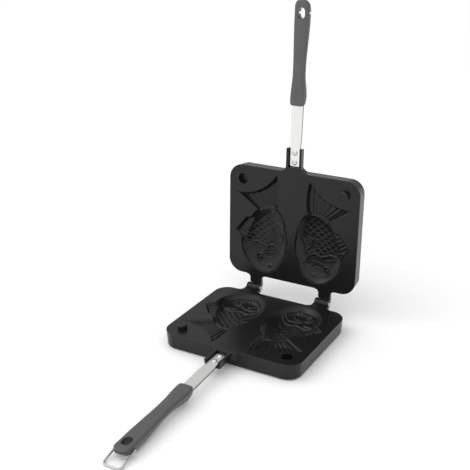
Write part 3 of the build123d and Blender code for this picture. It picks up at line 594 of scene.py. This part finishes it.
def scales(points, row, width, rise):
    """Overlapping scales whose free edges point to the tail, a little wavy as if carved by hand."""
    u = points[:, 0] + waves(points, WAVES_ACROSS)
    v = points[:, 1] + waves(points, WAVES_ALONG)
    edges = np.array([SCALE_START - k * row
                      - SCALE_BULGE * row * (1 + np.cos(2 * math.pi * (u / width - (k % 2) / 2)))
                      for k in range(SCALE_ROWS)])
    row_at = np.clip(np.sum(v < edges, axis=0), 1, len(edges) - 1)
    own = np.take_along_axis(edges, row_at[None], 0)[0]
    above = np.take_along_axis(edges, row_at[None] - 1, 0)[0]
    beyond = v - own
    uneven = 1 - SCALE_UNEVEN + waves(points, WAVES_RISE)
    sloped = 1 - SCALE_SLOPE * np.clip(beyond / np.maximum(above - own, SCALE_SHORTEST * row), 0, 1)
    return rise * uneven * ease(0, SCALE_LEAD, beyond) * sloped


def fish_relief(points, share, depth_left):
    """Height of what stands out of the cavity's floor or is cut into it, faded where little depth is left:
    scales, gill cover, eye, mouth, fins and rays."""
    size = bpy.context.scene.hob_pan_relief
    gill, ray = size.gill_rise / MM, size.ray_rise / MM
    u, v = points[:, 0], points[:, 1]
    # body and face are a low pillow with a crease round it
    height = PILLOW_RISE * (1 - ease(*PILLOW_EDGE, share)) * ease(*PILLOW_TAIL, v)
    height -= CREASE_DEPTH * hump((share - CREASE_SHARE) / CREASE_HALF) * ease(*PILLOW_TAIL, v)
    # scales, from the gill cover to the tail, and none round the breast fin
    cover = spline(GILL_COVER, steps=10)
    ahead = v - np.interp(u, cover[:, 0], cover[:, 1])
    chest = np.array(BREAST)
    bare = ease(*BREAST_BARE, distance(points, np.vstack([chest, chest[:1]]))) * ~within(points, chest)
    scaled = ease(*SCALE_GILL, -ahead) * (1 - ease(*SCALE_EDGE, share)) * bare
    scaled *= ease(*SCALE_TAIL, v) * ease(*SCALE_CHEST, u)
    height += scaled * scales(points, size.scale_row / MM, size.scale_width / MM, size.scale_rise / MM)
    # the gill cover, a plate that ends in a thick edge, with lines drawn on it, and the eye
    face = 1 - ease(*FACE_EDGE, share)
    height += face * gill * GILL_PLATE * ease(*GILL_STEP, ahead)
    for path, half, rise in FACE_LINES:
        line = spline(path, steps=8) if len(path) > 2 else np.array(path, float)
        height += face * gill * rise * hump(distance(points, line) / half, power=0.8)
    away = np.hypot(u - EYE[0], v - EYE[1])
    for rise, radius, half, power in EYE_RINGS:
        height += rise * hump((away - radius) / half, power)
    # breast fin: a thick leading edge with a groove beside it, and rays
    for path, half, rise in BREAST_RAYS:
        height = np.maximum(height, BREAST_FOOT + ridge(points, np.array(path, float), half, rise))
    groove = distance(points, np.array(BREAST_GROOVE, float))
    height -= BREAST_GROOVE_DEPTH * hump(groove / BREAST_GROOVE_HALF)
    # tail and back fin: rays that fan out
    for rays, widening in ((TAIL_RAYS, TAIL_RAY_WIDENING), (BACK_RAYS, BACK_RAY_WIDENING)):
        for ends in rays:
            height = np.maximum(height, ridge(points, np.array(ends, float), RAY_HALF, ray, widening))
    return height * ease(*RIM_FADE, depth_left)


def fish_cavity(loop):
    """Points, in the half's drawing, and triangles of the right-hand fish inside its outline."""
    step = bpy.context.scene.hob_pan_relief.mesh_step / MM
    outline = evenly(loop, step)
    points, faces = fill(outline, step, rows=WALL_ROWS)
    p = points - np.array((FISH_X, FISH_Y))
    rim = distance(points, np.vstack([loop, loop[:1]]))
    rim[:len(outline)] = 0
    wall = FIN_WALL * (np.sqrt(rim ** 2 + RIM_ROUND ** 2) - RIM_ROUND)
    bowl, share = bowl_depth(p)
    pocket = -soft_max(-wall, np.full(len(p), -FIN_DEPTH), FLOOR_ROUND)
    tail = pocket * ease(*TAIL_FADE, -beside(p, TAIL_ROOT))
    fin = pocket
    for side in BACK_FIN_SIDES:
        fin = fin * ease(*BACK_FIN_FADE, beside(p, side))
    depth = soft_max(soft_max(bowl, tail, FOLD_ROUND), fin, FOLD_ROUND)
    depth = -soft_max(-depth, -wall * BOWL_WALL, WALL_ROUND)
    depth -= fish_relief(p, share, depth)
    return np.column_stack([points, PARTING_Z - np.maximum(depth, 0)]), faces


def outline_loops(edges):
    """Closed loops of vertices from edges that join up, in the same order on every run."""
    links = {}
    for edge in edges:
        for a, b in (edge.verts, reversed(edge.verts)):
            links.setdefault(a, []).append(b)
    loops, left = [], dict.fromkeys(links)
    while left:
        at, loop, before = next(iter(left)), [], None
        while at in left:
            del left[at]
            loop.append(at)
            at, before = next(n for n in links[at] if n is not before), at
        loops.append(loop)
    return loops


def fish_outlines(rims, node):
    """The loops of the two fish among the parting face's rims, and the right one's places, anticlockwise."""
    fish, right = [], []
    for loop in outline_loops(rims):
        at = np.array([v.co.xy[:] for v in loop])
        wide, long = np.ptp(at, axis=0)
        if long > FISH_LONG and wide < FISH_WIDE:
            fish.append(loop)
            if at[:, 0].mean() > 0:
                right.append(at)
    if len(right) != 1 or len(fish) != 2:
        raise RuntimeError(f"{node} has {len(fish)} fish outlines, {len(right)} of them on the right")
    x, y = right[0].T
    anticlockwise = np.sum(x * np.roll(y, -1) - np.roll(x, -1) * y) > 0
    return fish, right[0] if anticlockwise else right[0][::-1]


def cavity_faces(rims, fish, top):
    """Faces that are reached from the fish's rims without crossing the parting face."""
    corners = {v for loop in fish for v in loop}
    front = [f for e in rims if corners.issuperset(e.verts) for f in e.link_faces if f not in top]
    cavity = set(front)
    while front:
        for edge in front.pop().edges:
            for face in edge.link_faces:
                if face not in cavity and face not in top:
                    cavity.add(face)
                    front.append(face)
    return cavity


def on_parting(item):
    """Whether a face or an edge lies in the parting face."""
    return all(abs(v.co.z - PARTING_Z) < SAME_HEIGHT for v in item.verts)


def face_up(face):
    """The face, turned so that it looks up."""
    face.normal_update()
    if face.normal.z < 0:
        face.normal_flip()
    return face


def cast_half(name, node, place, body):
    """One casting: the CAD solid's outside, with finely modelled fish in place of its plain cavities."""
    bm = bmesh.new()
    bm.from_mesh(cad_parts[node].data)
    bmesh.ops.transform(bm, matrix=place.inverted(), verts=bm.verts)
    if place.determinant() < 0:
        bmesh.ops.reverse_faces(bm, faces=bm.faces)
    bmesh.ops.remove_doubles(bm, verts=bm.verts, dist=SAME_POINT)
    bm.normal_update()
    top = {f for f in bm.faces if on_parting(f)}
    rims = [e for e in bm.edges if len(e.link_faces) == 2 and len(top & set(e.link_faces)) == 1]
    fish, outline = fish_outlines(rims, node)
    bmesh.ops.delete(bm, geom=list(top | cavity_faces(rims, fish, top)), context="FACES")
    points, faces = fish_cavity(outline)
    relief = set()
    for side in (1, -1):
        made = [bm.verts.new((side * x, y, z)) for x, y, z in points]
        for corners in faces:
            relief.add(face_up(bm.faces.new([made[i] for i in corners])))
    open_edges = [e for e in bm.edges if len(e.link_faces) == 1 and on_parting(e)]
    filled = bmesh.ops.triangle_fill(bm, use_beauty=True, use_dissolve=False, edges=open_edges)["geom"]
    flat = {face_up(face) for face in filled if isinstance(face, bmesh.types.BMFace)}
    bmesh.ops.dissolve_degenerate(bm, dist=NO_LENGTH, edges=bm.edges)
    relief, flat = ({face for face in kind if face.is_valid} for kind in (relief, flat))
    # the relief is soft throughout, and the flat parting face ends in crisp edges
    for face in bm.faces:
        face.smooth = True
    for edge in bm.edges:
        faces = set(edge.link_faces)
        crisp = bool(faces & flat) or edge.calc_face_angle(0) > math.radians(SHARP_CAST)
        edge.smooth = relief.issuperset(faces) or flat.issuperset(faces) or not crisp
    piece = new_piece(name, bm, place, sprayed_coat(), body, 0)
    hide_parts(node)


class HOBPAN_OT_castings(bpy.types.Operator):
    """Makes both cast halves with their fish cavities"""
    bl_idname = "hobpan.castings"
    bl_label = "Cast Halves"

    def execute(self, context):
        for half, place, body in halves():
            cast_half(f"{half}_casting", f"{half}_pan", place, body)
        return {"FINISHED"}


# ---- grips ----

def grip_half_width(s):
    """Half of the grip's width at a distance from its front end."""
    steps = spline([(share * GRIP_LENGTH, half) for share, half, _ in GRIP_STATIONS], steps=8)
    return np.interp(s, steps[:, 0], steps[:, 1])


def grip_underside(s):
    """Height of the underside above the strap's top, with the lead-in slope at the tip."""
    steps = spline([(share * GRIP_LENGTH, depth) for share, _, depth in GRIP_STATIONS], steps=8)
    depth = np.interp(s, steps[:, 0], steps[:, 1])
    t = np.clip((s - (GRIP_LENGTH - TAIL_RAMP)) / (TAIL_RAMP + TAIL_BOW), 0, 1)
    return GRIP_TOP - depth + (depth - TAIL_TIP_DEPTH) * t ** TAIL_CURVE


def grip_plan():
    """The grip seen from above: x across, s along it from its front end."""
    sides = np.linspace(NOSE_ROUND, GRIP_LENGTH - TAIL_ROUND, SIDE_POINTS)
    right = [(float(grip_half_width(s)), s) for s in sides]
    nose = grip_half_width(0) - NOSE_ROUND
    front = [(x, 0.0) for x in np.linspace(0, nose, NOSE_POINTS, endpoint=False)]
    front += [(nose + NOSE_ROUND * math.sin(a), NOSE_ROUND - NOSE_ROUND * math.cos(a))
              for a in np.radians(np.arange(0, 90, NOSE_ARC))]
    tail_x = grip_half_width(GRIP_LENGTH) - TAIL_ROUND
    tail = [(tail_x + TAIL_ROUND * math.cos(a), GRIP_LENGTH - TAIL_ROUND + TAIL_ROUND * math.sin(a))
            for a in np.radians(np.arange(TAIL_ARC, 90, TAIL_ARC))]
    tip = [(x, GRIP_LENGTH) for x in np.linspace(tail_x, 0, TIP_POINTS, endpoint=False)]
    half = np.array(front + right + tail + tip)
    bow = TAIL_BOW * np.clip(1 - (half[:, 0] / (grip_half_width(GRIP_LENGTH))) ** 2, 0, 1)
    half[:, 1] += bow * ease(GRIP_LENGTH - TAIL_ROUND, GRIP_LENGTH, half[:, 1])
    left = half[::-1][:-1] * (-1, 1)
    tip_point = np.array([(0.0, GRIP_LENGTH + TAIL_BOW)])
    return np.vstack([half, tip_point, left])


def slot_outline(width, reach, middle):
    """Round-ended slot whose ends are a reach apart along s."""
    r, straight = width / 2, (reach - width) / 2
    points = []
    for start, centre in ((0, middle + straight), (180, middle - straight)):
        for a in np.radians(np.arange(start, start + 181, SLOT_ARC)):
            points.append((r * math.cos(a), centre + r * math.sin(a)))
    return np.array(points)


def skin(bm, rings):
    """Faces between rings of as many vertices each."""
    count = len(rings[0])
    for low, high in zip(rings, rings[1:]):
        for i in range(count):
            j = (i + 1) % count
            bm.faces.new((low[i], low[j], high[j], high[i]))


def moulding(levels, hole_levels, cap_low, cap_high):
    """Moulding with a hang hole: rings of the outside and of the hole, and a cap at each end.
    A level is an inset and a height for each point of the plan; a cap is a height for each point."""
    bm = bmesh.new()
    plan = grip_plan()
    hole = slot_outline(HANG_HOLE[0], HANG_HOLE[1], GRIP_LENGTH - HANG_HOLE[2])
    outside, inside = [], []
    for store, outline, stack in ((outside, plan, levels), (inside, hole, hole_levels)):
        for inset, height in stack:
            at = drawn_in(outline, inset)
            z = height(at)
            store.append([bm.verts.new((x, -GRIP_START - s, h)) for (x, s), h in zip(at, z)])
        skin(bm, store)
    for k, height in ((0, cap_low), (-1, cap_high)):
        rim = np.array([(v.co.x, -GRIP_START - v.co.y) for v in outside[k]])
        gap = np.array([(v.co.x, -GRIP_START - v.co.y) for v in inside[k]])
        points, faces = fill(rim, CAP_STEP, [gap])
        verts = outside[k] + inside[k]
        z = height(points)
        verts = verts + [bm.verts.new((x, -GRIP_START - s, h))
                         for (x, s), h in list(zip(points, z))[len(verts):]]
        for a, b, c in faces:
            bm.faces.new((verts[a], verts[b], verts[c]))
    bmesh.ops.recalc_face_normals(bm, faces=bm.faces)
    return bm


def level(z):
    """Height function of a level plane."""
    return lambda at: np.full(len(at), float(z))


def shifted(height, by):
    """Height function that lies above another, or below it."""
    return lambda at: height(at) + by


def crown(at):
    """Height of the cover's crowned top."""
    half = grip_half_width(np.clip(at[:, 1], 0, GRIP_LENGTH))
    return GRIP_TOP + GRIP_CROWN * (1 - np.clip(at[:, 0] / half, -1, 1) ** 2)


def under(at):
    """Height of the body's underside."""
    return grip_underside(np.clip(at[:, 1], 0, GRIP_LENGTH + TAIL_BOW))


def cover_mesh():
    """The grip's cover, from its seat up to the crowned top."""
    size = bpy.context.scene.hob_pan_grip
    r, deep, soft = size.cover_round / MM, size.groove_depth / MM, size.hole_round / MM
    levels = [(deep, level(COVER_SEAT)), (BROKEN_EDGE, level(COVER_SEAT)),
              (0, level(COVER_SEAT + BROKEN_EDGE)), (0, level(GRIP_TOP - r))]
    hole = [(-HOLE_EDGE, level(COVER_SEAT)), (-HOLE_EDGE, level(COVER_SEAT + HOLE_EDGE)),
            (0, level(GRIP_TOP - soft))]
    for a in np.radians(COVER_EDGE_ARC):
        drop = 1 - math.sin(a)
        levels.append((r * (1 - math.cos(a)), shifted(crown, -(r + EDGE_DROP) * drop)))
        hole.append((-soft * (1 - math.cos(a)), shifted(crown, -soft * drop)))
    return moulding(levels, hole, level(COVER_SEAT), crown)


def body_mesh():
    """The grip's body, from its rounded underside up through the groove to the cover's seat."""
    size = bpy.context.scene.hob_pan_grip
    r, deep, soft = size.under_round / MM, size.groove_depth / MM, size.hole_round / MM
    across = min(r, NOSE_ROUND - NOSE_SPARE)        # a wider round would fold over at the nose's corners
    levels = [(across * (1 - math.cos(a)), shifted(under, r * (1 - math.sin(a))))
              for a in np.radians(UNDER_EDGE_ARC)]
    levels += [(0, level(GROOVE_FOOT - BROKEN_EDGE)), (BROKEN_EDGE, level(GROOVE_FOOT)),
               (deep, level(GROOVE_FOOT)), (deep, level(GROOVE_TOP))]
    hole = [(-soft * (1 - math.cos(a)), shifted(under, soft * (1 - math.sin(a))))
            for a in np.radians(HOLE_EDGE_ARC)]
    hole += [(0, level(GROOVE_FOOT)), (0, level(GROOVE_TOP))]
    return moulding(levels, hole, under, level(GROOVE_TOP))


def notch_cutter():
    """Prism of the notch that the ring's wire snaps into, with a round seat."""
    y, z, r = -GRIP_START - GRIP_LENGTH + RING_SEAT[0], GRIP_TOP - RING_SEAT[1], NOTCH[0][0]
    seat = [(r * math.cos(a), r * math.sin(a)) for a in np.radians(np.arange(SEAT_ARC, 180, SEAT_ARC))]
    outline = [(-x, h) for x, h in reversed(NOTCH)] + seat[::-1] + list(NOTCH)
    bm = bmesh.new()
    ends = [[bm.verts.new((x, y + dy, z + dz)) for dy, dz in outline] for x in (-NOTCH_REACH, NOTCH_REACH)]
    skin(bm, ends)
    bm.faces.new(ends[0])
    bm.faces.new(ends[1])
    bmesh.ops.recalc_face_normals(bm, faces=bm.faces)
    mesh = bpy.data.meshes.new("notch")
    bm.to_mesh(mesh)
    bm.free()
    return mesh


def cut_notch(bm):
    """The grip's body with the notch cut out of it."""
    mesh = bpy.data.meshes.new("uncut")
    bm.to_mesh(mesh)
    bm.free()
    block, cutter = (bpy.data.objects.new(n, m) for n, m in (("block", mesh), ("cutter", notch_cutter())))
    for o in (block, cutter):
        bpy.context.scene.collection.objects.link(o)
    cut = block.modifiers.new("Notch", "BOOLEAN")
    cut.object, cut.operation, cut.solver = cutter, "DIFFERENCE", "EXACT"
    bpy.context.view_layer.update()
    result = bpy.data.meshes.new_from_object(block.evaluated_get(bpy.context.evaluated_depsgraph_get()))
    bm = bmesh.new()
    bm.from_mesh(result)
    # the cut leaves faces of many corners, which would be shaded unevenly
    many = [f for f in bm.faces if len(f.verts) > 4]
    bmesh.ops.triangulate(bm, faces=many, ngon_method="EAR_CLIP")
    for o in (block, cutter):
        bpy.data.objects.remove(o)
    return bm


class HOBPAN_OT_grips(bpy.types.Operator):
    """Makes both moulded grips, body and crowned cover"""
    bl_idname = "hobpan.grips"
    bl_label = "Moulded Grips"

    def execute(self, context):
        for half, place, body in halves():
            for part, bm in (("cover", cover_mesh()), ("body", cut_notch(body_mesh()))):
                piece = new_piece(f"{half}_moulded_{part}", bm, place @ handle_place(), moulded_phenolic(),
                                  body, SHARP_MOULDED)
                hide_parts(f"{half}_grip_{part}")
        return {"FINISHED"}


# ---- straps, rivets, pins and ring ----

def turned(profile):
    """Solid of revolution about Z from its outline: radius and height, from the lower end to the upper."""
    bm = bmesh.new()
    rings = []
    for radius, height in profile:
        rings.append([bm.verts.new((radius * math.cos(a), radius * math.sin(a), height))
                      for a in np.linspace(0, 2 * math.pi, TURNED_SIDES, endpoint=False)])
    skin(bm, rings)
    for ring, way in ((rings[0], -1), (rings[-1], 1)):
        bm.faces.new(ring[::way])
    bmesh.ops.recalc_face_normals(bm, faces=bm.faces)
    return bm


def dome(radius, foot, rise, top):
    """Outline of a round head: from its edge up to the top."""
    return [(radius, foot), (radius, rise)] + [
        (radius * math.cos(a), rise + (top - rise) * math.sin(a)) for a in np.radians(DOME_ARC)]


class HOBPAN_OT_handle_steel(bpy.types.Operator):
    """Finishes the steel straps and makes their round-headed rivets"""
    bl_idname = "hobpan.handle_steel"
    bl_label = "Straps and Rivets"

    def execute(self, context):
        for half, place, body in halves():
            node = f"{half}_strap"
            dress(node, rolled_strip())
            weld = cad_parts[node].modifiers.new("Join split points", "WELD")
            weld.merge_threshold = STRAP_WELD * MM
            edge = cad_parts[node].modifiers.new("Broken edges", "BEVEL")
            edge.width, edge.segments, edge.limit_method = STRAP_EDGE * MM, 2, "ANGLE"
            edge.angle_limit, edge.harden_normals = math.radians(SHARP_STRAP), True
            for name, seat in zip(("inner", "outer"), RIVET_SEATS):
                profile = list(RIVET_FOOT) + dome(*RIVET_HEAD)
                at = Matrix.Translation((0, FRONT_EDGE - seat, 0))
                piece = new_piece(f"{half}_headed_rivet_{name}", turned(profile), place @ at, headed_rivet(),
                                  body, SHARP_TURNED)
                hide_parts(f"{half}_rivet_{name}")
        return {"FINISHED"}


class HOBPAN_OT_hinge_pins(bpy.types.Operator):
    """Makes both hinge pins, headed on the right and peened on the left"""
    bl_idname = "hobpan.hinge_pins"
    bl_label = "Hinge Pins"

    def execute(self, context):
        for side in ("left", "right"):
            low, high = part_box(f"hinge_pin_{side}")
            left, right = low.x / MM, high.x / MM
            profile = [(radius, left + along) for radius, along in PIN_PEENED]
            profile.append((PIN_RADIUS, right - PIN_HEAD))
            profile += dome(PIN_HEAD_RADIUS, right - PIN_HEAD, right - PIN_DOME, right)
            lie = Matrix.Translation((0, HINGE_Y, HINGE_Z)) @ Matrix.Rotation(math.radians(90), 4, "Y")
            piece = new_piece(f"hinge_pin_{side}_turned", turned(profile), lower_place() @ lie, turned_pin(),
                              "base", SHARP_TURNED)
            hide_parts(f"hinge_pin_{side}")
        return {"FINISHED"}


class HOBPAN_OT_locking_ring(bpy.types.Operator):
    """Finishes the wire ring that locks the two grips together"""
    bl_idname = "hobpan.locking_ring"
    bl_label = "Locking Ring"

    def execute(self, context):
        dress("locking_ring", drawn_wire())
        return {"FINISHED"}


# ---- stage ----

def white_studio():
    """World like a white studio: bright above the front and dimmer towards the back."""
    world = bpy.data.worlds.new("White studio")
    world.use_nodes = True
    tree = world.node_tree
    towards = add(tree, "ShaderNodeTexCoord").outputs["Generated"]
    facing = add(tree, "ShaderNodeVectorMath", {0: towards, 1: GLOW_TOWARDS}, operation="DOT_PRODUCT")
    glow = add(tree, "ShaderNodeMapRange", {"Value": facing.outputs["Value"], "From Min": 0.0,
                                            "From Max": GLOW_REACH, "To Min": GLOW_DIM,
                                            "To Max": GLOW_BRIGHT}, interpolation_type="SMOOTHSTEP")
    # all round it, just above the floor, stands a white sweep
    height = add(tree, "ShaderNodeSeparateXYZ", {0: towards}).outputs["Z"]
    sweep = add(tree, "ShaderNodeMapRange", {"Value": height, "From Min": SWEEP_LOW, "From Max": SWEEP_HIGH,
                                             "To Min": 1.0, "To Max": 0.0})
    both = add(tree, "ShaderNodeMath", {0: glow.outputs["Result"], 1: sweep.outputs["Result"]},
               operation="MAXIMUM")
    tree.links.new(both.outputs[0], tree.nodes["Background"].inputs["Strength"])
    tree.nodes["Background"].inputs["Color"].default_value = (1, 1, 1, 1)
    return world


class HOBPAN_OT_stage(bpy.types.Operator):
    """Sets the pale floor, the white studio, the soft box and the camera"""
    bl_idname = "hobpan.stage"
    bl_label = "Stage"

    def execute(self, context):
        scene = context.scene
        scene.view_settings.view_transform = "Standard"
        bm = bmesh.new()
        bmesh.ops.create_grid(bm, x_segments=1, y_segments=1, size=FLOOR_HALF)
        mesh = bpy.data.meshes.new("floor")
        bm.to_mesh(mesh)
        bm.free()
        floor = bpy.data.objects.new("floor", mesh)
        scene.collection.objects.link(floor)
        material, tree, shader, _ = finish("Paper sweep matt white")
        if tree:
            # The eye sees plain white paper, with no sheen.
            shader.inputs["Base Color"].default_value = scene.hob_pan_colours.floor
            shader.inputs["Roughness"].default_value = 0.9
            shader.inputs["Specular IOR Level"].default_value = 0.0
        mesh.materials.append(material)
        scene.world = white_studio()

        lamp = bpy.data.lights.new("soft_box", "AREA")
        lamp.shape, lamp.size, lamp.energy = "DISK", SOFT_BOX_SIZE, SOFT_BOX_POWER
        holder = bpy.data.objects.new("soft_box", lamp)
        scene.collection.objects.link(holder)
        holder.location = SOFT_BOX_SPOT
        aim = Vector(SOFT_BOX_AIM) - Vector(SOFT_BOX_SPOT)
        holder.rotation_euler = aim.to_track_quat("-Z", "Y").to_euler()

        camera = bpy.data.cameras.new("camera")
        camera.lens, camera.sensor_width = CAMERA_LENS, CAMERA_SENSOR
        holder = bpy.data.objects.new("camera", camera)
        scene.collection.objects.link(holder)
        spot = Matrix.Translation(CAMERA_SPOT)
        holder.matrix_world = spot @ Vector(CAMERA_BACK).to_track_quat("Z", "Y").to_matrix().to_4x4()
        scene.camera = holder
        return {"FINISHED"}


# ---- add-on ----

PIECES = (HOBPAN_OT_stage, HOBPAN_OT_castings, HOBPAN_OT_grips, HOBPAN_OT_handle_steel, HOBPAN_OT_hinge_pins,
          HOBPAN_OT_locking_ring)


class HOBPAN_PT_panel(bpy.types.Panel):
    """Sizes, colours and the makers of the pieces"""
    bl_label = "Hob Pan"
    bl_idname = "HOBPAN_PT_panel"
    bl_space_type = "VIEW_3D"
    bl_region_type = "UI"
    bl_category = "Hob Pan"

    def draw(self, context):
        for title, group in (("Relief", context.scene.hob_pan_relief), ("Grips", context.scene.hob_pan_grip),
                             ("Colours", context.scene.hob_pan_colours)):
            box = self.layout.box()
            box.label(text=title)
            for name in group.bl_rna.properties.keys():
                if name not in ("rna_type", "name"):
                    box.prop(group, name)
        for operator in PIECES:
            self.layout.operator(operator.bl_idname)


GROUPS = {"hob_pan_relief": HobPanRelief, "hob_pan_grip": HobPanGrip, "hob_pan_colours": HobPanColours}


def register():
    """Adds the classes, and their properties to the scene."""
    for cls in (*GROUPS.values(), *PIECES, HOBPAN_PT_panel):
        bpy.utils.register_class(cls)
    for name, cls in GROUPS.items():
        setattr(bpy.types.Scene, name, bpy.props.PointerProperty(type=cls))


def unregister():
    """Takes the properties and the classes out again."""
    for name in GROUPS:
        delattr(bpy.types.Scene, name)
    for cls in reversed((*GROUPS.values(), *PIECES, HOBPAN_PT_panel)):
        bpy.utils.unregister_class(cls)


def main():
    """Makes all pieces."""
    register()
    for operator in PIECES:
        category, name = operator.bl_idname.split(".")
        getattr(getattr(bpy.ops, category), name)()


if __name__ == "__main__":
    main()
